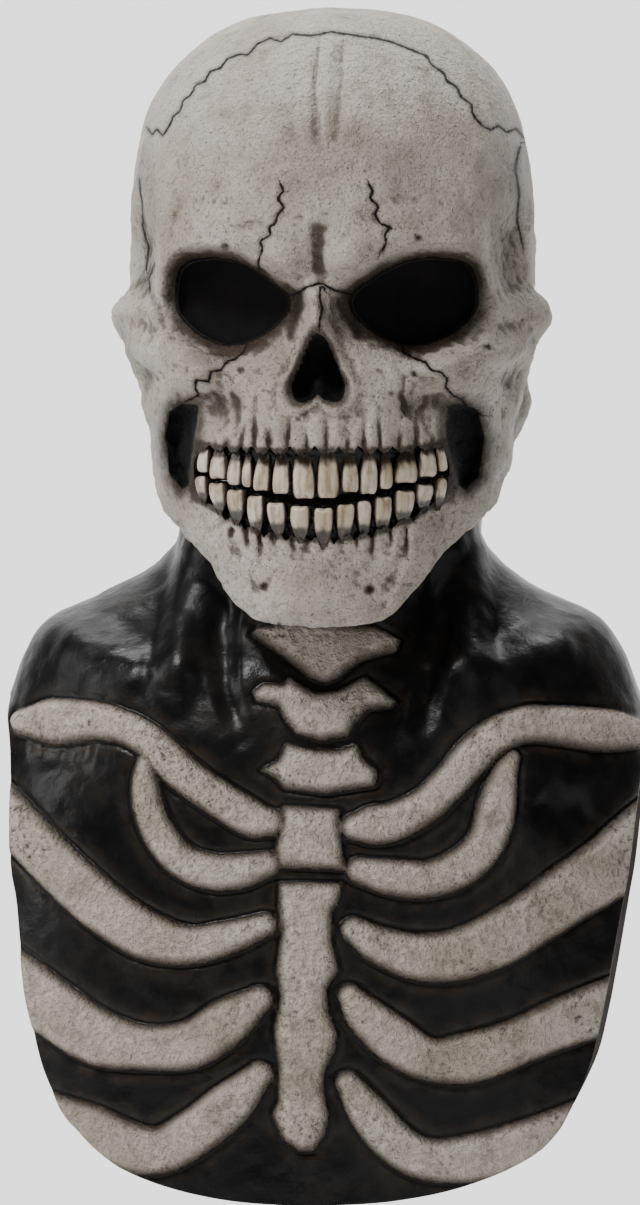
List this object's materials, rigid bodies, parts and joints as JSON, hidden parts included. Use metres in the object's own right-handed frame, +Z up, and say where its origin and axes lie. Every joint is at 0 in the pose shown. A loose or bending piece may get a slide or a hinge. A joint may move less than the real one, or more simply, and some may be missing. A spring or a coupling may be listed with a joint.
{
  "type": "skull mask",
  "caption": "Full-head skull mask cast in latex, with a neck and a shield-shaped bib that carries a raised ribcage, bared teeth and mesh-backed eyes.",
  "frame": {"origin": "where the top of the wearer's head meets the inside of the crown", "axes": "+Z up, the face looks along -Y, +X is the wearer's left"},
  "size_m": [0.3033, 0.245, 0.5555],
  "materials": {
    "painted_latex": "satin latex, bone and black paint",
    "teeth": "stained ivory with gloss",
    "eye_mesh": "black woven mesh"
  },
  "bodies": {
    "root": {"mask_skin": "painted_latex", "upper_teeth": "teeth", "lower_teeth": "teeth", "eye_mesh_right": "eye_mesh", "eye_mesh_left": "eye_mesh"}
  },
  "joints": []
}
